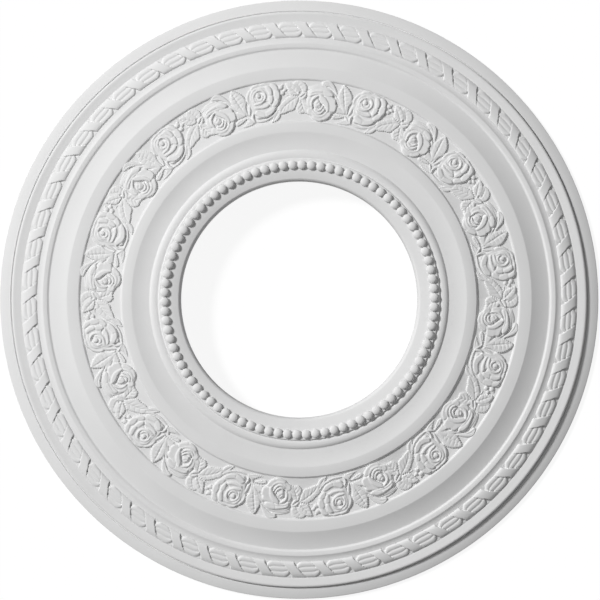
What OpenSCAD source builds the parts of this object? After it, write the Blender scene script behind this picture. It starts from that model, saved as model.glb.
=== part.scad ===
// Ceiling rose, moulded in one piece. It lies on its flat back: the back is z = 0, the
// centre of the round opening is the origin, and +Z comes out of the carved face.

/* [Main sizes] */
// Outer diameter
outer_d = 600; // [580:5:620]
// Diameter of the central opening at the back
hole_d = 236; // [200:2:237]
// Thickness at the outer edge
edge_h = 4; // [3:0.5:6]
// Height of the ring outside the ribbon band
ring_h = 12; // [11:0.5:14]
// Height of the narrow band inside the ribbon band
collar_h = 19.2; // [19:0.2:20]
// Height of the top of the large cove
cove_h = 25.4; // [25:0.2:27]
// Height of the flat ground under the beads
crest_h = 39.6; // [39:0.2:41]

/* [Beads] */
// Number of beads round the opening
bead_count = 90; // [60:1:90]
// Diameter of a bead
bead_d = 9; // [7:0.1:9.2]
// Radius of the ring through the bead centres
bead_ring_r = 134.3; // [134:0.1:134.6]

/* [Ribbon band] */
// Number of ribbon turns
ribbon_count = 56; // [30:1:56]
// Width of the ribbon along the band
ribbon_w = 12.5; // [10:0.5:16]
// How far the ribbon's inner end lies ahead of its outer end
ribbon_slant = 14; // [6:1:16]
// How far the ribbon's edges stand above the reeds
ribbon_lift = 0.9; // [0.6:0.1:2]

/* [Frieze] */
// Number of times the rose motif repeats
motif_count = 12; // [6:1:12]
// Height of the roses above the ground
rose_h = 3.6; // [2:0.1:5]
// Height of the leaves above the ground
leaf_h = 1.6; // [1:0.1:3]
// Number of sides to a rose
rose_sides = 10; // [10:5:20]

/* [Hidden] */

outer_r = outer_d / 2;
hole_r = hole_d / 2;

// Where the first bead, ribbon turn and frieze motif stand, clockwise from +Y
first_bead = 1.1;
first_ribbon = 1.2;
first_motif = -4;
// How far a bead's centre lies under its seat
bead_sink = 0.7;

// Frieze ground: a shallow cone that falls outward between two raised fillets
frieze_in_r = 178.6;
frieze_out_r = 220.2;
frieze_mid_r = 198;
fall = tan(9.4);
ground_out_h = 24.5;
function ground(r) = ground_out_h + (frieze_out_r - r) * fall;
// The relief is rooted at this height, well below its ground
bed_h = 21;

// Points between a and b that bow to the left of the line by sag
function bow(a, b, sag, n = 6) =
    let (d = b - a, side = [-d[1], d[0]] / norm(d))
    [for (i = [1:n - 1]) let (t = i / n) a + t * d + 4 * t * (1 - t) * sag * side];

// Ribbon band: feet of the reeds, and the arch over their tops
band_in_r = 262.2;
band_out_r = 277.8;
band_in_h = collar_h - 3;
reed_count = 3;
reed_pitch = (band_out_r - band_in_r) / reed_count;
function band_top(r) =
    let (t = (r - band_in_r) / (band_out_r - band_in_r), base = band_in_h + (ring_h - band_in_h) * t)
    base + 3.1 * pow(max(0, 4 * t * (1 - t)), 0.55);
// Each reed is a rod with two shoulders, and a groove parts it from the next
reeds = [
    for (i = [0:reed_count - 1], part = [0.25, 0.75, 1])
        let (r = band_in_r + (i + part) * reed_pitch)
        if (i + part < reed_count) [r, band_top(r) - (part == 1 ? 0.9 : 0.1)]
];

// Radial section, from the opening outward over the face and back along the flat back
fillet_in = [176.4, ground(frieze_in_r) + 3.3];
fillet_top = [168.4, fillet_in[1] + 1.3];
dish_low = [151, fillet_top[1] - 1.4];
bore_h = 24;
section = concat(
    [[hole_r, 0], [hole_r, bore_h], [119.2, 34.5], [120.2, 36.2], [121.2, 36.8]],
    bow([121.2, 36.8], [128.8, crest_h], -0.35, 4),
    [[128.8, crest_h], [140, crest_h], [141.6, dish_low[1] + 3], [145.2, dish_low[1] + 2.8]],
    bow([145.2, dish_low[1] + 2.8], [149.6, dish_low[1]], 0.5, 3),
    [[149.6, dish_low[1]], dish_low],
    bow(dish_low, fillet_top, -0.4, 5),
    [fillet_top, fillet_in, [frieze_in_r, ground(frieze_in_r)]],
    [[frieze_out_r, ground_out_h], [221.4, cove_h + 1.5], [230.2, cove_h]],
    bow([230.2, cove_h], [250.6, collar_h - 1.2], -0.9, 7),
    [[250.6, collar_h - 1.2], [251.6, collar_h - 1.1], [252.6, collar_h], [254.4, collar_h]],
    bow([254.4, collar_h], [band_in_r, band_in_h], 0.5, 4),
    [[band_in_r, band_in_h]], reeds, [[band_out_r, ring_h - 0.1]],
    [[286, ring_h + 0.2], [288.6, ring_h - 0.4], [289.4, ring_h - 1.4], [290.3, edge_h + 4]],
    [[outer_r - 0.6, edge_h + 0.2], [outer_r, edge_h - 0.4], [outer_r, 0]]
);

// A place on the frieze: u along it, v outward from its middle, h above its ground
function place(at, h) =
    let (a = at[0] / frieze_mid_r * 180 / PI, r = frieze_mid_r + at[1])
    [r * sin(a), r * cos(a), ground(r) + h];
// The same place down on the bed
function root(at) = let (p = place(at, 0)) [p[0], p[1], bed_h];

// A leaf from base to tip. Each station has two edges, two lobes and a sunk midrib.
module leaf(base, tip, wide, rise = leaf_h, bend = 0, stations = 1) {
    way = tip - base;
    side = [-way[1], way[0]] / norm(way);
    column = [1, 0.72, 0, -0.72, -1];
    height = [0, rise * 0.9, rise * 0.5, rise, 0];
    function middle(t) = base + t * way + 4 * t * (1 - t) * bend * side;
    function half_width(t) = wide / 2 * pow(sin(180 * pow(t, 0.8)), 0.7);
    ends = [root(base), root(tip)];
    body = [
        for (i = [1:stations], j = [0:4])
            let (t = i / (stations + 1), at = middle(t) + half_width(t) * column[j] * side)
            abs(column[j]) == 1 ? root(at) : place(at, height[j])
    ];
    last = 2 + 5 * (stations - 1);
    polyhedron(concat(ends, body), concat(
        [for (j = [0:3]) [0, 2 + j, 3 + j]],
        [for (j = [0:3]) [last + j, 1, last + j + 1]],
        [for (i = [1:1:stations - 1], j = [0:3])
            let (k = 5 * i - 3 + j) [k, k + 5, k + 6, k + 1]],
        [[0, 6, 2], [last, last + 4, 1]],
        [for (i = [1:1:stations - 1]) let (k = 5 * i - 3) [k, k + 4, k + 9, k + 5]]
    ));
}

// A rose: rings of lobed petals that step up to the heart
module rose(middle, heart, size, petals = 5) {
    reach = [1, 0.88, 0.58, 0.5, 0.22];
    height = [0, 0.85, 0.6, 1, 0.8];
    rings = len(reach);
    function lobe(k, a) = 1 + (k < 5 ? 0.09 : 0) * cos(petals * a + 90 * floor((k + 1) / 2));
    points = [
        for (k = [0:rings - 1], i = [0:rose_sides - 1])
            let (
                a = 360 * i / rose_sides,
                c = middle + (1 - reach[k]) * (heart - middle),
                at = c + reach[k] * lobe(k, a) * [size[0] / 2 * sin(a), size[1] / 2 * cos(a)]
            )
            k == 0 ? root(at) : place(at, rose_h * height[k])
    ];
    function next(i) = (i + 1) % rose_sides;
    polyhedron(points, concat(
        [for (k = [0:rings - 2], i = [0:rose_sides - 1])
            [k, k, k + 1, k + 1] * rose_sides + [i, next(i), next(i), i]],
        [[for (i = [0:rose_sides - 1]) (rings - 1) * rose_sides + i]],
        [[for (i = [rose_sides - 1:-1:0]) i]]
    ));
}

// A stem through a few places: a ridge with a triangular section
module stem(route, wide = 1.4, rise = 1) {
    n = len(route);
    function heading(i) =
        let (d = route[min(i + 1, n - 1)] - route[max(i - 1, 0)]) [-d[1], d[0]] / norm(d);
    points = [
        for (i = [0:n - 1], j = [1, 0, -1])
            let (at = route[i] + j * wide / 2 * heading(i))
            j == 0 ? place(at, rise) : root(at)
    ];
    polyhedron(points, concat(
        [for (i = [0:n - 2], j = [0:1]) let (k = 3 * i + j) [k, k + 3, k + 4, k + 1]],
        [for (i = [0:n - 2]) let (k = 3 * i) [k, k + 2, k + 5, k + 3]],
        [[0, 1, 2], [3 * n - 1, 3 * n - 2, 3 * n - 3]]
    ));
}

module berry(at, d = 4) {
    translate(root(at)) cylinder(d1 = d, d2 = d / 3, h = place(at, d / 2)[2] - bed_h, $fn = 5);
}

// One repeat of the frieze, with two roses and the leaves between them
module motif() {
    rose([35.5, -3], [33, -3.5], [30, 32]);
    rose([80.5, 4.5], [77.5, 8], [35, 33]);
    leaf([61.5, -8], [54.5, 21.5], 14, bend = -1, stations = 2);
    leaf([117, 5], [104.5, 18.5], 12);
    leaf([119.5, 8], [114, 21], 12, bend = -3);
    leaf([118, 3], [95, -11], 14, stations = 2);
    leaf([118, 3], [124, -14], 13);
    leaf([62, -8.5], [51, -3], 7);
    leaf([63, -10], [47.5, -13.5], 6.5);
    leaf([69, -16.5], [52, -17.5], 5);
    leaf([97, -8], [86.5, -19.8], 6.5);
    leaf([47.5, 14], [34, 20], 8);
    stem([[22.5, 11.5], [30, 15.5], [39, 15.5], [49, 9.5], [62, -7]], 4, 1);
    stem([[66, -14.5], [88, -14.5], [97, -7]]);
    for (at = [[100.8, 14.8], [101.2, 8.4], [104.2, 11.4]]) berry(at);
}

// The resize changes no size: it keeps the whole frieze as one mesh
module frieze() {
    resize([0, 0, 0])
        for (i = [0:motif_count - 1])
            rotate([0, 0, -360 / motif_count * i - first_motif]) motif();
}

module beads() {
    for (i = [0:bead_count - 1])
        rotate([0, 0, -360 / bead_count * i - first_bead])
            translate([0, bead_ring_r, crest_h - bead_sink]) sphere(d = bead_d, $fn = 32);
}

// One turn of the ribbon: a slanting strip, rooted below the reeds, that stands above them
module ribbon_turn() {
    steps = 3;
    mid_r = (band_in_r + band_out_r) / 2;
    function at(s, r, z) = let (a = s / mid_r * 180 / PI) [r * sin(a), r * cos(a), z];
    points = [
        for (i = [0:steps])
            let (
                t = i / steps,
                r = band_out_r + 0.3 + (band_in_r - band_out_r - 0.6) * t,
                s = ribbon_slant * (t - 0.5),
                z = band_top(min(max(r, band_in_r), band_out_r)),
                top = z + (i == 0 || i == steps ? 0.3 : ribbon_lift)
            )
            each [
                at(s - ribbon_w / 2, r, top),
                at(s + ribbon_w / 2, r, top),
                at(s + ribbon_w / 2, r, z - 4),
                at(s - ribbon_w / 2, r, z - 4)
            ]
    ];
    polyhedron(points, concat(
        [for (i = [0:steps - 1], j = [0:3])
            let (k = 4 * i, n = (j + 1) % 4) [k + j, k + n, k + 4 + n, k + 4 + j]],
        [[3, 2, 1, 0], [for (j = [0:3]) 4 * steps + j]]
    ));
}

module ribbon_band() {
    for (i = [0:ribbon_count - 1])
        rotate([0, 0, -360 / ribbon_count * i - first_ribbon]) ribbon_turn();
}

module ceiling_rose() {
    color("whitesmoke") {
        rotate_extrude($fn = 180) polygon(section);
        beads();
        ribbon_band();
        frieze();
    }
}

ceiling_rose();
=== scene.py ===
# %% [markdown]
# # A ceiling rose
#
# The real object is one moulding in rigid foam: a flat ring with a round opening, a row of
# beads, a wide frieze of roses and leaves, and a band of reeds wrapped with a ribbon. It
# lies face up on its flat back, with the opening at the origin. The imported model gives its
# true size and place; this script gives its real surface.

# %% Load the frame
import math

import bmesh
import bpy
import numpy as np
from mathutils import Matrix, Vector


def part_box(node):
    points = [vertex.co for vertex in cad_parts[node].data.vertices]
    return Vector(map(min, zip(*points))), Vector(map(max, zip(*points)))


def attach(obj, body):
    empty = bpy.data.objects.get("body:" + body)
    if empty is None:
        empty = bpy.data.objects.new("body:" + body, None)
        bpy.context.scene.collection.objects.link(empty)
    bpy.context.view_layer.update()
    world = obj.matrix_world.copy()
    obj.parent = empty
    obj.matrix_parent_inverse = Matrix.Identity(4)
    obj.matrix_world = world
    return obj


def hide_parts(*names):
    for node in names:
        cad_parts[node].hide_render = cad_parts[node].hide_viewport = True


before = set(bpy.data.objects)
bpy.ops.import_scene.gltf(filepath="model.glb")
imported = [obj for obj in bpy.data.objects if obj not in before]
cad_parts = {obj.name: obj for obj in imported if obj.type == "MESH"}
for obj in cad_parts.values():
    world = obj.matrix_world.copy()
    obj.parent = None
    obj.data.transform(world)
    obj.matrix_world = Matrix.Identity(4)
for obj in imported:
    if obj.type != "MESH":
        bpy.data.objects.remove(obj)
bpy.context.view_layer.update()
NODE = "ceiling_rose"
MM = 0.001
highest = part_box(NODE)[1]
OUTER_R = highest.x / MM
TOP_Z = highest.z / MM
print(f"outer radius {OUTER_R:.1f} mm, height {TOP_Z:.1f} mm")

# %% [markdown]
# ## Drawing a section
#
# Every plain moulding on the rose is the same all the way round, so it is drawn once as a
# radial section: pairs of radius and height in millimetres. Coves and rounds are bows
# between two points. A moulded edge is never a knife edge, so each corner is softened by
# a fraction of a millimetre, which is what catches the light in thin bright lines.

# %% Bows and softened corners
def bow(start, end, sag, count=8):
    """Points after start, up to end, on a curve that bows to the left of the line by sag."""
    start, end = np.array(start, float), np.array(end, float)
    way = end - start
    left = np.array([-way[1], way[0]]) / np.hypot(*way)
    t = np.arange(1, count + 1)[:, None] / count
    return [tuple(p) for p in start + t * way + 4 * t * (1 - t) * sag * left]


def soften(points, radius=0.35, least_turn=14):
    """Cuts every corner of a closed section that turns by more than least_turn degrees."""
    points = [np.array(p, float) for p in points]
    out = []
    for before, here, after in zip(points[-1:] + points[:-1], points, points[1:] + points[:1]):
        back, on = before - here, after - here
        turn = math.degrees(math.pi - math.acos(
            np.clip(back @ on / (np.hypot(*back) * np.hypot(*on)), -1, 1)))
        if turn < least_turn:
            out.append(tuple(here))
            continue
        reach = min(radius, np.hypot(*back) / 3, np.hypot(*on) / 3)
        a = here + back / np.hypot(*back) * reach
        b = here + on / np.hypot(*on) * reach
        out += [tuple(a), tuple((a + b + 2 * here) / 4), tuple(b)]
    return out


# %% [markdown]
# ## The body
#
# From the opening outward: a lip that tips in a little, the flat seat of the beads, a small
# step and a round, a shallow dish up to a fillet, the frieze ground, the big cove, a narrow
# collar, the ribbon band, the outer ring and a sloping edge. The frieze ground is a cone
# that falls outward, so that the flowers face a little away from the opening.

# %% Heights that several pieces share
CREST_Z = 39.6
COVE_Z = 25.4
COLLAR_Z = 19.2
RING_Z = 12.0
EDGE_Z = 4.0
HOLE_R = 118.4
FRIEZE_IN_R, FRIEZE_MID_R, FRIEZE_OUT_R = 178.5, 198.0, 218.9
GROUND_OUT_Z = 24.5
GROUND_FALL = math.tan(math.radians(9.4))
BAND_IN_R, BAND_OUT_R = 262.6, 278.1
BAND_IN_Z, BAND_OUT_Z = COLLAR_Z - 3, RING_Z - 0.1


def ground(r):
    """Height of the frieze ground at a radius."""
    return GROUND_OUT_Z + (FRIEZE_OUT_R - r) * GROUND_FALL


# %% The radial section
FILLET_IN = (176.9, ground(FRIEZE_IN_R) + 2.9)
FILLET_TOP = (167.4, FILLET_IN[1] + 1.0)
DISH_LOW = (150.6, FILLET_TOP[1] - 1.1)
ROUND_IN, ROUND_TOP = (141.4, DISH_LOW[1] + 2.4), (144.3, DISH_LOW[1] + 2.8)
SEAT_Z = CREST_Z - 1.4
LIP_IN = (120.8, CREST_Z - 2.8)
COVE_LIP = (219.7, COVE_Z + 0.2)
COVE_SHOULDER, COVE_TOP = (221.2, COVE_Z + 1.0), (232.2, COVE_Z)
COVE_FOOT = (250.0, COLLAR_Z - 1.1)
COLLAR_OUT, COLLAR_FOOT = (256.5, COLLAR_Z), (257.8, COLLAR_Z - 1.1)
RING_LIP, RING_FOOT = (286.0, RING_Z + 0.1), (288.2, RING_Z - 1.3)
SLOPE_Z = EDGE_Z + 4.1

section = [
    (HOLE_R, 0), (HOLE_R, 33), (119.3, 35.6), (120.3, CREST_Z - 3.2), LIP_IN,
    (129.6, SEAT_Z), (139.9, SEAT_Z), (140.6, ROUND_IN[1]), ROUND_IN,
    *bow(ROUND_IN, ROUND_TOP, 0.2, 4), *bow(ROUND_TOP, (149.4, DISH_LOW[1]), 0.75, 6), DISH_LOW,
    *bow(DISH_LOW, FILLET_TOP, -0.5, 10),
    FILLET_IN, (FRIEZE_IN_R, ground(FRIEZE_IN_R)),
    (FRIEZE_OUT_R, GROUND_OUT_Z), COVE_LIP,
    *bow(COVE_LIP, COVE_SHOULDER, 0.2, 3), COVE_TOP,
    *bow(COVE_TOP, COVE_FOOT, -0.5, 14),
    (250.7, COLLAR_Z - 1.05), (252.4, COLLAR_Z), COLLAR_OUT, COLLAR_FOOT,
    *bow(COLLAR_FOOT, (BAND_IN_R - 0.3, BAND_IN_Z + 0.1), -0.25, 6),
    (BAND_IN_R + 1.5, BAND_IN_Z - 2), (BAND_OUT_R - 1.5, BAND_OUT_Z - 2),
    (BAND_OUT_R + 0.3, BAND_OUT_Z), (281, RING_Z - 0.1), (284.4, RING_Z), RING_LIP,
    *bow(RING_LIP, RING_FOOT, 0.4, 5), (288.5, SLOPE_Z - 1.4), (289.0, SLOPE_Z - 1.4),
    (289.5, SLOPE_Z), (OUTER_R - 0.4, EDGE_Z + 0.2), (OUTER_R, EDGE_Z - 0.4), (OUTER_R, 0),
]
print(f"section of {len(section)} points")


# %% Spinning a section into a closed course
WELD = 0.002     # mm: points this close are one


def spin_course(name, points, steps, turn=360.0, start=0.0, repeats=12):
    """A section (r, z in mm) spun clockwise about the centre, seen from above, from start
    degrees after +Y. One repeat is spun, copied round and welded, which is much quicker
    than one long spin. Less than a full turn is closed by a flat face at each end."""
    bm = bmesh.new()
    a = math.radians(start)
    ring = [bm.verts.new((r * MM * math.sin(a), r * MM * math.cos(a), z * MM))
            for r, z in points]
    wire = [bm.edges.new(pair) for pair in zip(ring, ring[1:] + ring[:1])]
    span = math.radians(turn / repeats)
    bmesh.ops.spin(bm, geom=ring + wire, cent=(0, 0, 0), axis=(0, 0, -1), angle=span,
                   steps=steps // repeats, use_duplicate=False)
    bmesh.ops.spin(bm, geom=bm.verts[:] + bm.edges[:] + bm.faces[:], cent=(0, 0, 0),
                   axis=(0, 0, -1), angle=span * (repeats - 1), steps=repeats - 1,
                   use_duplicate=True)
    bmesh.ops.remove_doubles(bm, verts=[v for v in bm.verts if v.is_boundary],
                             dist=WELD * MM)
    ends = [e for e in bm.edges if e.is_boundary]
    assert bool(ends) == (turn < 360)
    if ends:
        bmesh.ops.holes_fill(bm, edges=ends, sides=0)
        for e in ends:
            e.smooth = False
    bmesh.ops.recalc_face_normals(bm, faces=bm.faces)
    return finish_mesh(name, bm)


def finish_mesh(name, bm):
    """Turns a bmesh into a piece that rides on the rose and stands for its CAD node."""
    for f in bm.faces:
        f.smooth = len(f.verts) <= 4
    mesh = bpy.data.meshes.new(name)
    bm.to_mesh(mesh)
    bm.free()
    piece = bpy.data.objects.new(name, mesh)
    bpy.context.scene.collection.objects.link(piece)
    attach(piece, "root")
    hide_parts(NODE)
    mesh.calc_loop_triangles()
    print(f"{name}: {len(mesh.loop_triangles)} triangles")
    return piece


body = spin_course("moulded_body", soften(section), 300)

# %% [markdown]
# ## Carving tools
#
# The flowers and leaves are low relief: nothing undercuts, so a height over the ground
# says everything. A carver works the same way, and these tools are theirs. A *mass* is the
# rough block of a petal or leaf with a rounded edge, a *ridge* is a roll, rib or stem laid
# along a route, and a *groove* is a cut. Places are (u, v): millimetres clockwise round
# the middle of the frieze, and millimetres outward from it.

# %% Smooth lines through a few points
def smooth_line(points, closed=False, steps=6):
    """A Catmull-Rom curve through rows of numbers, the first two of them a place."""
    p = np.array(points, float)
    if closed:
        p = np.vstack([p[-1:], p, p[:2]])
    else:
        p = np.vstack([2 * p[0] - p[1], p, 2 * p[-1] - p[-2]])
    t = np.arange(steps)[:, None] / steps
    spans = [
        (2 * b + (c - a) * t + (2 * a - 5 * b + 4 * c - d) * t**2
         + (3 * b - a - 3 * c + d) * t**3) / 2
        for a, b, c, d in zip(p, p[1:], p[2:], p[3:])
    ]
    return np.vstack(spans + [p[-2:-1]])


def nearest(at, line):
    """For each place: its distance to the line, its side (+1 on the left) and the line's
    row of numbers at the nearest point."""
    best = np.full(len(at), np.inf)
    side = np.zeros(len(at))
    row = np.zeros((len(at), line.shape[1]))
    for a, b in zip(line, line[1:]):
        way = (b - a)[:2]
        if way @ way == 0:
            continue
        t = np.clip((at - a[:2]) @ way / (way @ way), 0, 1)[:, None]
        gap = at - a[:2] - t * way
        far = np.hypot(gap[:, 0], gap[:, 1])
        near = far < best
        best[near] = far[near]
        side[near] = np.sign(way[0] * gap[near, 1] - way[1] * gap[near, 0])
        row[near] = (a + t * (b - a))[near]
    return best, side, row


def enclosed(at, line):
    """True for each place inside a closed line."""
    inside = np.zeros(len(at), bool)
    for a, b in zip(line, line[1:]):
        crosses = (a[1] > at[:, 1]) != (b[1] > at[:, 1])
        rise = b[1] - a[1] if b[1] != a[1] else 1.0
        inside ^= crosses & (at[:, 0] < a[0] + (at[:, 1] - a[1]) * (b[0] - a[0]) / rise)
    return inside


# %% The carved patch and its three tools
BURIED = 0.9     # bare ground in the patch lies this far under the body's ground
WALL = 4.0       # a side falls this many mm for each mm outward
TOOTH_PITCH = 2.3     # mm from one tooth of a leaf to the next


class Patch:
    """One repeat of the relief as heights over its ground, on a grid that wraps round."""

    def __init__(self, length, low, high, columns, rows):
        self.length = length
        u = np.arange(columns) * length / columns
        v = np.linspace(low, high, rows)
        self.shape = (columns, rows)
        self.at = np.stack(np.meshgrid(u, v, indexing="ij"), -1).reshape(-1, 2)
        self.h = np.full(len(self.at), -BURIED)

    def near(self, line, reach):
        """The line and the places close to it, for each repeat that touches the patch."""
        for shift in range(-2, 3):
            moved = line.copy()
            moved[:, 0] += shift * self.length
            low, high = moved[:, :2].min(0) - reach, moved[:, :2].max(0) + reach
            some = np.flatnonzero(np.all((self.at > low) & (self.at < high), axis=1))
            if len(some):
                yield moved, some

    def mass(self, outline, height, edge=1.0, lean=(0, 0), teeth=0.0):
        """A raised block with a rounded edge. Lean tips its top: mm up for each mm along
        u and v from its middle. Teeth cut this far into its edge."""
        line = smooth_line(outline, closed=True)
        along = np.append(0, np.cumsum(np.hypot(*np.diff(line, axis=0).T)))
        for line, some in self.near(np.column_stack([line, along]), 1):
            at = self.at[some]
            gap, _, row = nearest(at, line)
            gap = np.where(enclosed(at, line), gap, -gap)
            gap -= teeth * (row[:, 2] / TOOTH_PITCH % 1)
            top = height + (at - line[:, :2].mean(0)) @ np.array(lean, float)
            shoulder = np.sqrt(1 - (1 - np.clip(gap / edge, 0, 1)) ** 2)
            self.raise_to(some, np.where(gap > 0, top * shoulder, WALL * gap))

    def ridge(self, route, height, foot=0.0, crest=0.0):
        """A roll along a route of (u, v, half width), from foot at its sides up to height.
        Its crest lies in the middle at 0 and towards its left side up to 1."""
        widest = max(r[2] for r in route)
        for line, some in self.near(smooth_line(route), widest + 1):
            gap, side, row = nearest(self.at[some], line)
            half = np.maximum(row[:, 2], 0.05)
            across = gap / half * side
            x = np.where(across > crest, (across - crest) / (1 - crest),
                         (across - crest) / (1 + crest))
            rise = (height - foot) * np.sqrt(np.clip(half / widest, 0, 1))
            roll = foot + rise * np.sqrt(np.clip(1 - x**2, 0, 1))
            self.raise_to(some, np.where(gap < half, roll, foot - WALL * (gap - half)))

    def groove(self, route, depth):
        """A cut along a route of (u, v, half width)."""
        widest = max(r[2] for r in route)
        for line, some in self.near(smooth_line(route), widest):
            gap, _, row = nearest(self.at[some], line)
            half = np.maximum(row[:, 2], 0.05)
            cut = np.clip(1 - (gap / half) ** 2, 0, 1) ** 1.5 * depth * half / widest
            self.h[some] = np.where(self.h[some] > 0, np.maximum(self.h[some] - cut, 0.05),
                                    self.h[some])

    def raise_to(self, some, height):
        self.h[some] = np.maximum(self.h[some], height)

    def ease(self, times=1):
        """Softens every edge by a part of a grid step, as a mould does."""
        h = self.h.reshape(self.shape)
        for _ in range(times):
            h = (np.roll(h, 1, 0) + 2 * h + np.roll(h, -1, 0)) / 4
            h[:, 1:-1] = (h[:, :-2] + 2 * h[:, 1:-1] + h[:, 2:]) / 4
        self.h = h.reshape(-1)


# %% [markdown]
# ## The frieze motif
#
# The frieze repeats one spray twelve times: a large open rose, an upright leaf, a second
# rose that faces outward, four berries, and leaves that fan out from one stem joint. The
# lowest leaves are carved first and the roses last, each on top of what it covers.

# %% The patch for one repeat
MOTIFS = 12
MOTIF_LENGTH = 2 * math.pi * FRIEZE_MID_R / MOTIFS
COLUMNS, ROWS = 230, 94
FRIEZE_LOW, FRIEZE_HIGH = -19.4, 23.2
motif = Patch(MOTIF_LENGTH, FRIEZE_LOW, FRIEZE_HIGH, COLUMNS, ROWS)
print(f"one grid step is {MOTIF_LENGTH / COLUMNS:.2f} by "
      f"{(FRIEZE_HIGH - FRIEZE_LOW) / (ROWS - 1):.2f} mm")

# %% Leaves behind the stem joint
def veins(pairs, depth, half=0.55):
    """Side veins: each a cut from a place on the midrib to a place by the edge."""
    for (u, v), (to_u, to_v) in pairs:
        motif.groove([(u, v, half), ((u + to_u) / 2, (v + to_v) / 2 + 0.2, half),
                      (to_u, to_v, half / 2)], depth)


motif.mass([(112, 15), (112, 19.6), (116, 21.3), (120.5, 20.8), (124, 18), (125.6, 13.5),
            (124.5, 9.6), (119, 8.6)], 1.5, edge=0.9, lean=(0.02, 0.02), teeth=0.9)
motif.groove([(120.4, 9.5, 0.8), (118.6, 13.5, 0.9), (114, 19.5, 0.4)], 0.8)
veins([((119.3, 12), (123.5, 13)), ((118, 14.6), (122, 17)), ((116.4, 16.8), (119, 19.8))],
      0.5)
motif.mass([(118.2, 7), (118.4, 10.5), (116.2, 14.2), (113.4, 17.3), (109.5, 19.4),
            (104.8, 19.2), (105.2, 16), (106, 12.5), (107.6, 8.5), (110, 6.2), (116, 5.6)],
           1.9, edge=0.9, lean=(0.02, 0.03), teeth=0.9)
motif.groove([(117, 6.5, 0.8), (112, 11.6, 0.9), (106, 17.8, 0.4)], 0.9)
veins([((115, 8.5), (117, 11.5)), ((112.8, 10.8), (114.4, 14.6)),
       ((110.2, 13.4), (110.8, 17.6)), ((114.4, 8.8), (110.5, 7.4)), ((112, 11.2), (108, 10)),
       ((109.6, 13.8), (106.6, 13.4))], 0.5)

# %% The long leaf that runs back under the second rose
motif.mass([(118, 4.5), (113.5, 6), (109, 6.2), (104, 3.6), (99.5, -0.4), (95.2, -4.6),
            (95.8, -9), (96.6, -12.4), (99.5, -12.9), (103, -12.3), (107, -10.6),
            (112, -9.4), (114.6, -6), (116.8, -1)], 1.6, edge=0.8, lean=(0, -0.02), teeth=1.3)
motif.groove([(117, 4.2, 0.7), (112, 1.9, 1.0), (107, -1.5, 1.1), (102, -5.4, 1.0),
              (98, -10, 0.5)], 0.7)
veins([((112, 1.9), (111.5, -6)), ((108.5, -0.6), (106.6, -8)), ((104.8, -3.2), (102, -10)),
       ((101.4, -6), (98.4, -11)), ((110.6, 0.8), (107, 4)), ((106, -2.2), (101.8, 0.6)),
       ((102.4, -5), (97.8, -3.4))], 0.45, half=0.8)

# %% The short leaf beside it, and two leaflets
motif.mass([(118.2, 4), (116.6, 0), (114.8, -4), (113.6, -7), (115, -10.6),
            (118.5, -13), (123, -12.6), (127.8, -13.4), (127.4, -6), (124.5, 2)], 1.7,
           edge=0.9, teeth=1.3)
motif.groove([(118.6, 3, 0.7), (120.6, -3, 1.0), (123.2, -10.5, 0.4)], 0.9)
veins([((119.4, -0.5), (116.2, -4.5)), ((120.6, -3.4), (116.8, -8.4)),
       ((121.8, -6.4), (119, -11)), ((119.8, -1.2), (124, -2)), ((121, -4.2), (125.6, -6)),
       ((122.2, -7.6), (126, -10.4))], 0.7, half=0.7)
motif.ridge([(118.5, 5.4, 1.0), (121, 7.4, 1.4), (124.6, 8.8, 0.7)], 2.1, foot=0.8)
motif.ridge([(118.8, 2, 1.0), (121.8, 3.8, 1.6), (124.4, 7.2, 0.8)], 2.1, foot=0.8)
motif.groove([(119.6, 4, 0.5), (121.6, 5.8, 0.6), (123.6, 7.6, 0.4)], 1.5)
motif.groove([(118.4, 8.9, 1.0), (119.2, 8.5, 1.0)], 1.3)

# %% The upright leaf and the stems that pass it
motif.mass([(54.4, 21.9), (52.4, 17.5), (51, 13), (50.7, 10), (52.2, 5), (55.5, -1.5),
            (61.5, -8.5), (63, -3), (63.2, 2), (66.2, 8), (64.8, 13), (61.4, 17.6),
            (57.8, 20.6)], 2.0, edge=0.9, lean=(0.01, 0.02), teeth=1.2)
motif.groove([(54.8, 20.6, 0.4), (56, 13.5, 0.9), (58.4, 5, 1.0), (60.8, -4, 0.4)], 1.0)
veins([((55.6, 16), (58.6, 17.6)), ((56.2, 12.6), (61, 14.6)), ((57.2, 9), (63, 11)),
       ((58.4, 5), (63.6, 6.6)), ((59.4, 1), (62.4, 2.4)), ((55.4, 15.4), (52.8, 15.6)),
       ((56, 11.6), (52, 11.4)), ((57.2, 7.6), (52.8, 7)), ((58.8, 2.6), (55, 1.4))], 0.5,
      half=0.7)
motif.ridge([(46, 11, 0.9), (50, 6.6, 1.0), (55, 1, 0.9), (60.5, -6.5, 0.7)], 1.7)
motif.ridge([(50.6, 10.5, 0.7), (53, 5.5, 0.9), (57, 0, 0.8), (61.3, -7, 0.6)], 1.5)
motif.ridge([(45.5, 6.8, 0.7), (49.2, 4.8, 1.0), (52.4, 1.8, 0.9), (56, -2.6, 0.5)], 1.6)

# %% The narrow leaf that wraps the second rose
motif.ridge([(67, 8.4, 0.8), (63.9, 4.8, 1.6), (62.3, 0.5, 1.7), (63.2, -7, 1.0)], 1.8,
            crest=0.4)
motif.ridge([(69, 5, 0.8), (67.5, 0.8, 1.4), (66.6, -3.5, 1.5), (65.3, -7.8, 0.9)], 1.9,
            crest=0.4)

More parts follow.
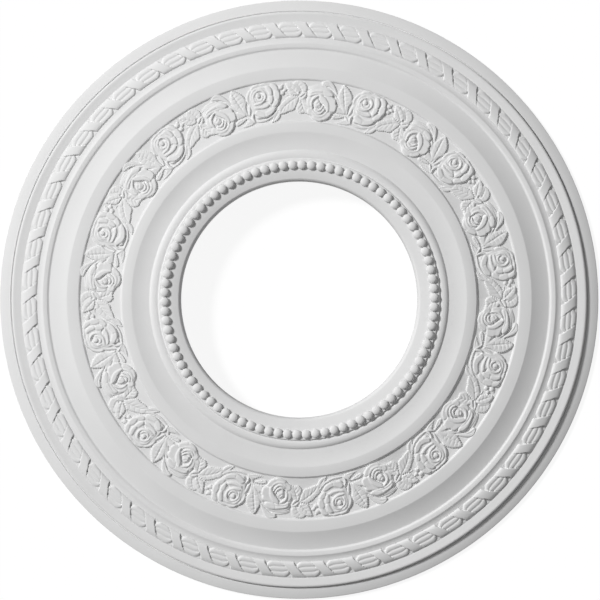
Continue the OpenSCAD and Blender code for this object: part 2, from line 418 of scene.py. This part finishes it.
# %% Small leaves near the inner edge
motif.mass([(52.2, -1.2), (55.5, -2.2), (59, -4), (62.5, -7.6), (59, -8.4), (55, -8.8),
            (51.7, -9), (51.2, -5.5)], 1.6, edge=1.2, lean=(0, 0.12), teeth=0.7)
motif.mass([(47.8, -13), (49, -11), (52.6, -9.6), (58, -9), (63.5, -9.8),
            (60, -12.2), (55, -14.4), (50, -15.2)], 1.9, edge=1.1, lean=(0, 0.05), teeth=0.9)
motif.groove([(50, -12.8, 0.4), (56, -11.4, 0.7), (62, -10.4, 0.4)], 0.7)
veins([((53, -12.2), (51.6, -14)), ((56, -11.6), (55.4, -13.6)), ((54, -12), (54.6, -9.9)),
       ((57.4, -11.2), (58, -9.4))], 0.4)
motif.mass([(51.8, -17.5), (56, -15.9), (60, -14), (63.5, -12), (67.5, -14.6), (69.5, -16),
            (66.5, -18.1), (59, -18.9)], 1.4, edge=0.8, teeth=0.9)
motif.groove([(54, -17.5, 0.3), (60, -16.4, 0.7), (67, -16, 0.4)], 0.6)
motif.mass([(97, -8), (92.5, -11), (89.5, -14), (87, -18), (86.2, -19.9), (90, -19.6),
            (95, -17.9), (97.8, -14.2), (98.6, -10.5)], 1.6, edge=0.9, teeth=0.9)
motif.groove([(96, -10.6, 0.5), (92, -14.6, 1.2), (88.4, -19, 0.4)], 0.9)

# %% Stems near the inner edge
motif.ridge([(62.5, -10.2, 0.8), (64.8, -12.2, 1.2), (67.5, -14.8, 1.1), (69.6, -16.3, 0.6)],
            2.0)
motif.ridge([(69.6, -15.8, 0.7), (76, -16.3, 1.2), (82, -15.9, 1.3), (88, -13.8, 1.2),
             (93, -10.4, 1.3), (96.5, -6.6, 1.0)], 1.7)
motif.ridge([(105, 6.6, 0.5), (107.3, 6.9, 0.6), (110, 5.4, 0.7)], 1.3)

# %% The arching strands over the first rose, and the bud they carry
for height, route in ((1.2, [(22.4, 14.2), (28, 16.1), (34, 17), (39, 16.4)]),
                      (1.7, [(22.6, 12.6), (28, 14.6), (36, 14.9), (42, 13.7), (49, 8.4)]),
                      (1.9, [(23.2, 11), (28, 13), (36, 13.4), (42, 12.2), (46.5, 8.4)])):
    ends = (0.5,) + (1.0,) * (len(route) - 2) + (0.6,)
    motif.ridge([(u, v, half) for (u, v), half in zip(route, ends)], height)
motif.mass([(35.2, 18.2), (34.9, 20.6), (37.2, 22.6), (41.5, 23.3), (44.8, 20.8),
            (47.8, 16.6), (50.8, 11), (52.4, 7.4), (49.6, 9.2), (46, 12.8), (42, 15.8),
            (38.4, 17.2)], 2.3, edge=1.3, lean=(0.02, 0.05))
motif.groove([(36.6, 20.2, 0.4), (41, 19.2, 0.8), (46, 14.6, 0.9), (50.8, 9.2, 0.5)], 0.9)
motif.groove([(39, 21.8, 0.3), (43, 20, 0.6), (47.4, 15, 0.6), (51, 10, 0.4)], 0.6)

# %% [markdown]
# A rose here is a block with rolled petal rims on it. Each rim is a ridge whose foot lies
# a little below the block, so that a dark valley parts it from the next. The rims step up
# towards the heart.

# %% The first rose: the block and its outer petals
motif.mass([(22.6, 10), (21.6, 4), (21, -3), (22.2, -9.5), (26, -14.8), (29.5, -17.8),
            (36, -18.6), (43, -16.4), (46.6, -12), (49.6, -8.8), (50.2, -4), (48.6, 3),
            (45.8, 6.2), (44, 10.8), (36, 13), (27, 12.2)], 1.5, edge=1.0)
for height, lean, outline in (
        (2.3, (-0.04, 0), [(24.2, -5.8), (21.8, -4), (21.1, 0), (22.4, 3.4), (25, 4.6),
                           (27.6, 1), (27.4, -4.4)]),
        (2.4, (-0.04, -0.02), [(23.4, -6.6), (22, -9), (22.3, -11.8), (25.2, -13.8),
                               (29.4, -14.4), (30.6, -10), (27, -6.6)]),
        (2.5, (0, -0.05), [(27.4, -15), (30.6, -18), (34.6, -19.2), (38.4, -18.8), (41, -16.4),
                           (38.6, -13), (31, -12.6)]),
        (2.8, (0.04, -0.04), [(40, -17.8), (44, -16), (47, -12.8), (48, -10), (45.6, -8.4),
                              (41.6, -9.6), (38.4, -13.2)]),
        (3.0, (0.08, 0), [(50.7, -7.8), (52, -5), (52.1, -1.4), (50.6, 0.7), (46, 1.4),
                          (40.4, 0), (41, -7.6), (46, -8.8)]),
        (2.8, (0.07, 0.04), [(50, -1.2), (50.4, 3.8), (48, 5.9), (44.6, 6.6), (38, 7.6),
                             (39, 0.4), (44, -2.6)]),
        (3.3, (0.01, 0.05), [(24.2, 4.6), (23.6, 8.4), (26.6, 11.2), (33, 12.9), (39.6, 13.6),
                             (44, 12.3), (47.2, 9.2), (46, 6.9), (41.4, 6.6), (35, 7.4),
                             (29, 6.4)])):
    motif.mass(outline, height, edge=1.3, lean=lean)
motif.groove([(37, 13, 0.4), (36.4, 10.6, 0.7), (37.6, 8.4, 0.4)], 0.5)
motif.groove([(24.6, 7.6, 0.7), (30, 9.2, 1.1), (37, 9.3, 1.0), (43, 7.6, 0.6)], 0.7)

# %% Its middle petals and heart
motif.ridge([(27.2, -6, 0.8), (26.2, -2.4, 1.2), (27, 1.8, 1.4), (30, 4.8, 1.3),
             (33, 6.6, 0.8)], 3.6, foot=1.7)
motif.mass([(33.2, 8), (36.6, 7.4), (40.2, 4.8), (43.4, 0.6), (44.6, -3.4), (44.9, -7.8),
            (42.4, -9.4), (40.9, -5.4), (38.4, -1.8), (35.6, 1), (33.6, 4)], 3.7, edge=1.3,
           lean=(0.06, 0.04))
motif.ridge([(27.6, -12, 0.8), (31, -14, 1.3), (36.5, -14, 1.5), (40.6, -11.6, 1.3),
             (42.4, -8.8, 0.9)], 3.3, foot=1.7)
motif.ridge([(28.6, -9.6, 0.8), (31.6, -11.4, 1.2), (36, -11, 1.3), (38.9, -8, 1.2),
             (40.2, -5, 0.9)], 3.7, foot=1.9)
motif.ridge([(30, -7.4, 0.7), (33.2, -8.6, 1.1), (36.2, -7, 1.1), (38, -3.6, 0.8)], 3.8,
            foot=2.1)
motif.mass([(29, -3.6), (29.6, -0.6), (31.6, 1.4), (33.6, 1.4), (36, -1), (36.8, -4),
            (34.6, -6), (31, -6.6)], 3.9, edge=1.8, lean=(-0.05, 0.08))
motif.groove([(29.6, -3, 0.5), (32.4, -1.4, 0.8), (34.4, 0.8, 0.5)], 1.0)
motif.groove([(31.4, -5.4, 0.4), (34, -4.2, 0.6), (35.8, -2.2, 0.4)], 0.8)
motif.groove([(32, 5.4, 0.5), (33.8, 2.2, 0.8), (36.8, -0.6, 0.9), (39.4, -4, 0.8),
              (41.4, -8.8, 0.5)], 1.6)
motif.groove([(28.2, -3.6, 0.6), (28.2, -5.6, 0.9), (29.4, -8, 0.7)], 1.9)

# %% The second rose: the block and its outer petals
motif.mass([(66.4, 8), (67.6, 12.3), (70.2, 15), (73, 18.4), (79, 20.7), (88, 20.9),
            (94.5, 19.9), (98, 15.4), (99.2, 9), (98.6, 2), (95, -4.2), (92, -8.6),
            (86, -12), (79, -13.4), (73, -11), (69.4, -6), (68.4, 1)], 1.7, edge=1.0)
motif.ridge([(67.2, 4, 0.6), (67.6, 9.6, 1.2), (70, 14, 1.3), (71.8, 16.4, 0.7)], 2.4,
            foot=1.0)
motif.ridge([(72, 15.8, 0.7), (74.4, 18.6, 1.2), (78.6, 19.7, 1.3), (81.4, 19.3, 0.6)], 2.5,
            foot=1.0)
motif.ridge([(81, 19.6, 0.6), (85, 20, 1.2), (89.6, 19.2, 0.9)], 2.5, foot=1.0)
for height, lean, outline in (
        (3.0, (0.07, 0.03), [(90.2, 18.8), (93.4, 19.7), (96.4, 17.8), (97.9, 14.4),
                             (97.6, 12), (94.6, 11.4), (92.4, 14.4)]),
        (3.1, (0.08, 0), [(97.8, 12.6), (99.2, 9.4), (99.3, 6), (97.9, 2.6), (94.6, 2.4),
                          (92.8, 7), (93.6, 12)]),
        (2.9, (0.05, -0.04), [(97.8, 2.8), (97.4, 0), (95.4, -2.8), (92.6, -4.4), (90, -3),
                              (91.4, 1.4), (94, 3.4)]),
        (3.1, (0, -0.05), [(71.6, -6.2), (74.2, -4.7), (78, -6.3), (82, -7.4), (86, -6.2),
                           (89.4, -4.5), (92.9, -5), (92.6, -8), (88.6, -11.4),
                           (83, -13.4), (77.4, -13.2), (73.4, -10.8), (71, -8.4)])):
    motif.mass(outline, height, edge=1.3, lean=lean)
motif.groove([(80.6, -8, 0.4), (81.8, -10.4, 0.7), (81, -12.6, 0.4)], 0.5)

# %% Its middle petals
motif.mass([(70.6, 0), (70.6, 8), (72.4, 14.6), (77, 17.6), (83, 17.6), (88.6, 18),
            (91.8, 14.6), (92.4, 9), (92, 3), (89.6, -2.4), (84, -4.2), (77, -4.4),
            (72.4, -3.6)], 2.3, edge=1.0)
motif.ridge([(70.9, 6.8, 0.6), (71.8, 11.6, 1.1), (74.6, 15.4, 1.2), (78, 16.8, 0.6)], 2.9,
            foot=1.6)
motif.ridge([(78, 16.4, 0.6), (81.6, 16.6, 1.0), (85, 16.2, 0.7)], 2.9, foot=1.6)
motif.mass([(85.6, 17.6), (88.6, 18.2), (91.2, 15.6), (92.3, 11.6), (91.8, 8), (88.6, 7.6),
            (87.4, 11.6), (86.2, 14.6)], 3.7, edge=1.3, lean=(0.07, 0.02))
motif.mass([(92, 8), (92.4, 4), (90.6, -0.4), (87.6, -0.6), (87, 3.6), (87.6, 7.4)], 3.5,
           edge=1.3, lean=(0.06, -0.02))
motif.mass([(72, -0.6), (72.6, -3.4), (76, -4.2), (80.6, -4.6), (85, -4), (88.4, -1.6),
            (86, 0.6), (82, -0.8), (77, -1.2)], 3.4, edge=1.2, lean=(0.02, -0.05))
motif.groove([(82.8, 2.2, 0.5), (85.6, 1.6, 1.1), (88.2, -0.8, 0.6)], 1.4)

# %% Its heart
motif.ridge([(78.4, 15, 0.6), (82, 14.2, 1.0), (84.5, 11, 1.2), (84.7, 7, 1.2),
             (82.8, 4, 1.2), (79, 1.7, 1.4), (73.4, 1.2, 0.9)], 3.9, foot=2.2)
motif.ridge([(77.6, 14, 0.6), (74.6, 12, 1.0), (73, 8.4, 1.0), (73.6, 4.4, 0.7)], 3.4,
            foot=2.2)
motif.ridge([(74.8, 7.4, 0.6), (76, 5, 0.9), (79, 4.2, 1.0), (81.6, 6, 0.9), (82.2, 9, 0.6)],
            3.8, foot=2.4)
motif.mass([(75.8, 10.2), (77.2, 11.8), (79.6, 11.4), (80.8, 9), (79.8, 6.8), (77.2, 6.4),
            (75.8, 8)], 4.2, edge=1.6, lean=(-0.06, 0.06))
motif.groove([(78.2, 13, 0.6), (80.6, 12.2, 1.1), (82.4, 10.6, 0.7)], 2.0)
motif.groove([(76, 10.8, 0.4), (75.8, 8, 0.7), (76.6, 5.8, 0.4)], 1.2)

# %% The calyx, a curled petal and the berries
motif.ridge([(70.2, -6.4, 0.8), (68.7, -9, 1.3), (68.3, -12, 1.3), (69.6, -15.4, 0.8)], 2.5)
motif.ridge([(71.8, -10.6, 0.8), (73.6, -12, 1.6), (76.4, -13, 0.8)], 2.4)
for u, v, radius in ((100.2, 14.6, 2.5), (101.4, 8.9, 2.3), (104, 12, 2.0), (101.8, 17, 1.3)):
    motif.ridge([(u, v, radius), (u + 0.1, v, radius)], radius * 0.9)
motif.ease()
print(f"relief up to {motif.h.max():.1f} mm over its ground")

# %% [markdown]
# ## The frieze
#
# Twelve copies of the patch go round the ground. The strip under them is spun like any
# other course, and then each point on its top takes the height carved at its place. It is
# made as three lengths of four roses' sprays, so that no mesh gets too heavy. Its bare parts
# lie just under the body's ground, so the flowers seem to grow out of one smooth surface.

# %% Lay the carved heights on three strips
STRIPS = 3
BED_Z = 21.0
FIRST_SPRAY = -4.0
strip_top = [(FRIEZE_MID_R + v, ground(FRIEZE_MID_R + v))
             for v in np.linspace(FRIEZE_LOW, FRIEZE_HIGH, ROWS)]
strip_section = strip_top + [(strip_top[-1][0], BED_Z), (strip_top[0][0], BED_Z)]
heights = motif.h.reshape(motif.shape)
frieze = []
for k in range(STRIPS):
    strip = spin_course(f"rose_frieze_{k + 1}", strip_section, COLUMNS * MOTIFS // STRIPS,
                        turn=360 / STRIPS, start=FIRST_SPRAY + 360 / STRIPS * k,
                        repeats=2 * MOTIFS // STRIPS)
    co = np.zeros(len(strip.data.vertices) * 3)
    strip.data.vertices.foreach_get("co", co)
    co = co.reshape(-1, 3) / MM
    r, z = np.hypot(co[:, 0], co[:, 1]), co[:, 2]
    angle = np.degrees(np.arctan2(co[:, 0], co[:, 1])) - FIRST_SPRAY
    column = np.round(angle / (360 / MOTIFS) * COLUMNS).astype(int) % COLUMNS
    row = np.round((r - strip_top[0][0]) / (FRIEZE_HIGH - FRIEZE_LOW) * (ROWS - 1)).astype(int)
    on_top = z > BED_Z + 0.5
    co[:, 2] += np.where(on_top, heights[column, row], 0)
    strip.data.vertices.foreach_set("co", (co * MM).ravel())
    strip.data.update()
    frieze.append(strip)

# %% [markdown]
# ## The ribbon band
#
# Three slim rods lie side by side in a ring, and a ribbon winds round them at a slant. The
# ribbon stands a little above the rods, with a dark slit along both of its edges. Between
# two turns the rods show in a slanting eye. They draw together at the eye's two sharp
# corners, where the ribbon grips them, and a scrap of bare ground shows beside them there.
# This is one formula for the height at any place, so again a plain course is spun and its
# top points are moved.

# %% Height of the band at a place
TURNS = 56
TURN_COLUMNS, BAND_ROWS = 60, 25
BAND_MID_R = (BAND_IN_R + BAND_OUT_R) / 2
TURN_LENGTH = 2 * math.pi * BAND_MID_R / TURNS
FIRST_TURN = 1.3
RIBBON_HALF, RIBBON_SLANT, RIBBON_FLARE = 5.7, 6.4, 1.2
RIBBON_LIFT = 0.75
ARCH = 2.0
RODS = 3
ROD_CREST, ROD_DEPTH = 2.0, 1.3
CORNER, GRIP = 8.0, 0.6
ARCH_POWER = 0.62                    # under 1 gives a fuller arch
ROD_EDGE, ROD_ROUNDNESS = 0.06, 0.97
SLIT_HALF, SLIT_DEPTH = 0.6, 1.1
EYE_FLOOR = -0.3


def band_height(r, along):
    """Height in mm at radius r and a distance along the band from a ribbon's middle."""
    x = np.clip((r - BAND_MID_R) / (BAND_OUT_R - BAND_MID_R), -1, 1)
    base = BAND_IN_Z + (BAND_OUT_Z - BAND_IN_Z) * (x + 1) / 2
    # a place's distance past the middle of its eye, and what is left to the eye's two ends
    from_middle = (along + RIBBON_SLANT * x) % TURN_LENGTH - TURN_LENGTH / 2
    half_eye = TURN_LENGTH / 2 - RIBBON_HALF - RIBBON_FLARE * x**4
    past, before = half_eye + from_middle, half_eye - from_middle
    grip = np.clip(1 - np.where(x > 0, past, before) / CORNER, 0, 1)
    spread = x / (1 - GRIP * grip**1.5)
    inside = np.clip((1 - np.abs(spread)) / ROD_EDGE, 0, 1)
    on_rod = ((spread + 1) / 2 * RODS) % 1 * 2 - 1
    crest = ROD_CREST - 0.5 * spread**2
    hollow = 1 - np.sqrt(1 - ROD_ROUNDNESS * np.clip(on_rod, -1, 1)**2)
    rods = inside * (crest - ROD_DEPTH * hollow)
    slit = np.exp(-((past / SLIT_HALF) ** 2)) + np.exp(-((before / SLIT_HALF) ** 2))
    ribbon = ARCH * (1 - x**2) ** ARCH_POWER + RIBBON_LIFT * (1 - x**6)
    in_eye = (past > 0) & (before > 0)
    return base + np.where(in_eye, np.maximum(rods - SLIT_DEPTH * slit, EYE_FLOOR), ribbon)


# %% Spin the band and shape its top
band_r = np.linspace(BAND_IN_R - 0.4, BAND_OUT_R + 0.4, BAND_ROWS)
band_section = [(r, 17) for r in band_r] + [(band_r[-1], 6), (band_r[0], 6)]
ribbon_band = spin_course("ribbon_band", band_section, TURNS * TURN_COLUMNS, start=FIRST_TURN,
                          repeats=TURNS)
co = np.zeros(len(ribbon_band.data.vertices) * 3)
ribbon_band.data.vertices.foreach_get("co", co)
co = co.reshape(-1, 3) / MM
r = np.hypot(co[:, 0], co[:, 1])
along = (np.degrees(np.arctan2(co[:, 0], co[:, 1])) - FIRST_TURN) / 360 * TURNS * TURN_LENGTH
co[:, 2] = np.where(co[:, 2] > 16, band_height(r, along), co[:, 2])
ribbon_band.data.vertices.foreach_set("co", (co * MM).ravel())
ribbon_band.data.update()

# %% [markdown]
# ## The beads
#
# Ninety beads sit in a ring round the opening. Each is a flattened ball, sunk a little way
# into its seat. One ball is enough, turned round the centre; the part under the seat never
# shows.

# %% The ring of beads
BEADS = 90
BEAD_D = 9.1
BEAD_FLATNESS = 0.62
BEAD_RING_R, BEAD_Z = 134.4, CREST_Z + 0.1
FIRST_BEAD = 1.1
bm = bmesh.new()
bmesh.ops.create_uvsphere(bm, u_segments=24, v_segments=12, radius=BEAD_D / 2 * MM)
bmesh.ops.scale(bm, verts=bm.verts, vec=(1, 1, BEAD_FLATNESS))
bmesh.ops.translate(bm, verts=bm.verts, vec=(0, BEAD_RING_R * MM, BEAD_Z * MM))
bmesh.ops.rotate(bm, verts=bm.verts, cent=(0, 0, 0),
                 matrix=Matrix.Rotation(-math.radians(FIRST_BEAD), 3, "Z"))
bmesh.ops.spin(bm, geom=bm.faces[:] + bm.edges[:] + bm.verts[:], cent=(0, 0, 0),
               axis=(0, 0, -1), angle=2 * math.pi * (BEADS - 1) / BEADS, steps=BEADS - 1,
               use_duplicate=True)
bead_course = finish_mesh("bead_course", bm)

# %% [markdown]
# ## The finish
#
# The real one is rigid polyurethane foam, moulded and sprayed with a matt white primer at
# the factory. The primer is an even, neutral white with almost no gloss. Up
# close it has a fine tooth from the spray, and the white varies by a hair where the coat
# is thinner.

# %% Colours and nodes
def srgb(hex_colour):
    """A '#RRGGBB' colour as the linear values that Blender works in."""
    parts = [int(hex_colour[i:i + 2], 16) / 255 for i in (1, 3, 5)]
    return [c / 12.92 if c <= 0.04045 else ((c + 0.055) / 1.055) ** 2.4 for c in parts] + [1]


def add_node(tree, kind, settings=(), **inputs):
    """Adds a node. Settings are its own properties; inputs are values or output sockets."""
    node = tree.nodes.new(kind)
    for name, value in dict(settings).items():
        setattr(node, name, value)
    for name, value in inputs.items():
        socket = node.inputs[name.replace("_", " ")]
        if isinstance(value, bpy.types.NodeSocket):
            tree.links.new(value, socket)
        else:
            socket.default_value = value
    return node


def new_material(name):
    """An empty node material and its tree."""
    material = bpy.data.materials.new(name)
    material.use_nodes = True
    material.node_tree.nodes.clear()
    return material, material.node_tree


# %% Matt white primer on moulded foam
primer, tree = new_material("matt_white_primer_on_moulded_foam")
place = add_node(tree, "ShaderNodeTexCoord").outputs["Object"]
PER_METRE = 1000
PATCH_MM, TOOTH_MM = 45, 1.2
patches = add_node(tree, "ShaderNodeTexNoise", Vector=place, Scale=PER_METRE / PATCH_MM,
                   Detail=3.0).outputs["Fac"]
coat = add_node(tree, "ShaderNodeValToRGB", Fac=patches)
coat.color_ramp.elements[0].position = 0.3
coat.color_ramp.elements[0].color = srgb("#DFDFDF")
coat.color_ramp.elements[1].position = 0.7
coat.color_ramp.elements[1].color = srgb("#E2E2E2")
tooth = add_node(tree, "ShaderNodeTexNoise", Vector=place, Scale=PER_METRE / TOOTH_MM,
                 Detail=2.0).outputs["Fac"]
relief = add_node(tree, "ShaderNodeBump", Height=tooth, Strength=0.12, Distance=0.1 * MM)
dry = add_node(tree, "ShaderNodeMapRange", Value=patches)
dry.inputs["To Min"].default_value = 0.68
dry.inputs["To Max"].default_value = 0.76
paint = add_node(tree, "ShaderNodeBsdfPrincipled")
paint.inputs["IOR"].default_value = 1.5
paint.inputs["Specular IOR Level"].default_value = 0.3
tree.links.new(coat.outputs["Color"], paint.inputs["Base Color"])
tree.links.new(dry.outputs["Result"], paint.inputs["Roughness"])
tree.links.new(relief.outputs["Normal"], paint.inputs["Normal"])
add_node(tree, "ShaderNodeOutputMaterial", Surface=paint.outputs["BSDF"])

pieces = [body, *frieze, ribbon_band, bead_course]
for piece in pieces:
    piece.data.materials.clear()
    piece.data.materials.append(primer)
print(f"{len(pieces)} pieces painted")

# %% [markdown]
# ## Floor, light and camera
#
# The rose lies on a white floor. Shallow relief only shows under light from one side, so
# the key light is a soft sun from the upper left, halfway up the sky. A weak even sky fills
# the shadows. The floor adds a little light of its own for the camera alone, which makes
# it pure white without lighting the rose, and it still takes the rose's shadow.

# %% White floor
bm = bmesh.new()
bmesh.ops.create_grid(bm, x_segments=1, y_segments=1, size=4.0)
bmesh.ops.translate(bm, verts=bm.verts, vec=(0, 0, -0.1 * MM))
mesh = bpy.data.meshes.new("floor")
bm.to_mesh(mesh)
bm.free()
floor = bpy.data.objects.new("floor", mesh)
bpy.context.scene.collection.objects.link(floor)


def seen_directly(tree):
    """1 for rays from the camera, a reflection or glass, and 0 for light that bounces."""
    ray = add_node(tree, "ShaderNodeLightPath").outputs
    some = add_node(tree, "ShaderNodeMath", {"operation": "MAXIMUM"})
    tree.links.new(ray["Is Camera Ray"], some.inputs[0])
    tree.links.new(ray["Is Glossy Ray"], some.inputs[1])
    either = add_node(tree, "ShaderNodeMath", {"operation": "MAXIMUM"})
    tree.links.new(some.outputs[0], either.inputs[0])
    tree.links.new(ray["Is Transmission Ray"], either.inputs[1])
    return either.outputs[0]


white_floor, tree = new_material("white_floor")
for_bounces = add_node(tree, "ShaderNodeBsdfDiffuse", Color=srgb("#BDBDBD"))
shadow_tint = add_node(tree, "ShaderNodeBsdfDiffuse", Color=srgb("#626262"))
glow = add_node(tree, "ShaderNodeEmission", Strength=0.90)
for_camera = add_node(tree, "ShaderNodeAddShader")
tree.links.new(shadow_tint.outputs[0], for_camera.inputs[0])
tree.links.new(glow.outputs[0], for_camera.inputs[1])
either = add_node(tree, "ShaderNodeMixShader")
tree.links.new(seen_directly(tree), either.inputs[0])
tree.links.new(for_bounces.outputs[0], either.inputs[1])
tree.links.new(for_camera.outputs[0], either.inputs[2])
add_node(tree, "ShaderNodeOutputMaterial", Surface=either.outputs[0])
mesh.materials.append(white_floor)

# %% Sky and key light
SKY_STRENGTH = 0.192
world = bpy.data.worlds.new("white_studio")
bpy.context.scene.world = world
world.use_nodes = True
tree = world.node_tree
tree.nodes.clear()
level = add_node(tree, "ShaderNodeMapRange", Value=seen_directly(tree))
level.inputs["To Min"].default_value = SKY_STRENGTH
level.inputs["To Max"].default_value = 1.0
sky = add_node(tree, "ShaderNodeBackground", Color=srgb("#FFFFFF"),
               Strength=level.outputs["Result"])
add_node(tree, "ShaderNodeOutputWorld", Surface=sky.outputs[0])

KEY_BEARING, KEY_HEIGHT = -60.0, 43.0     # degrees clockwise from +Y, and above the floor
KEY_STRENGTH, KEY_SPREAD = 2.98, 9
key = bpy.data.lights.new("key_light", "SUN")
key.energy = KEY_STRENGTH
key.angle = math.radians(KEY_SPREAD)
key_light = bpy.data.objects.new("key_light", key)
bpy.context.scene.collection.objects.link(key_light)
key_light.rotation_euler = (
    Matrix.Rotation(-math.radians(KEY_BEARING), 3, "Z")
    @ Matrix.Rotation(-math.radians(90 - KEY_HEIGHT), 3, "X")
).to_euler()

# %% Camera
CAMERA_Z = 6.0
FRAME_WIDTH = 0.6     # metres across at half the height of the rose
SHIFT_X, SHIFT_Y = 0.8 / 600, -0.4 / 600     # shares of that width
camera_data = bpy.data.cameras.new("camera")
camera_data.lens = camera_data.sensor_width * (CAMERA_Z - 0.5 * TOP_Z * MM) / FRAME_WIDTH
camera_data.shift_x = SHIFT_X
camera_data.shift_y = SHIFT_Y
camera = bpy.data.objects.new("camera", camera_data)
camera.location = (0, 0, CAMERA_Z)
bpy.context.scene.collection.objects.link(camera)
bpy.context.scene.camera = camera
bpy.context.scene.view_settings.view_transform = "Standard"
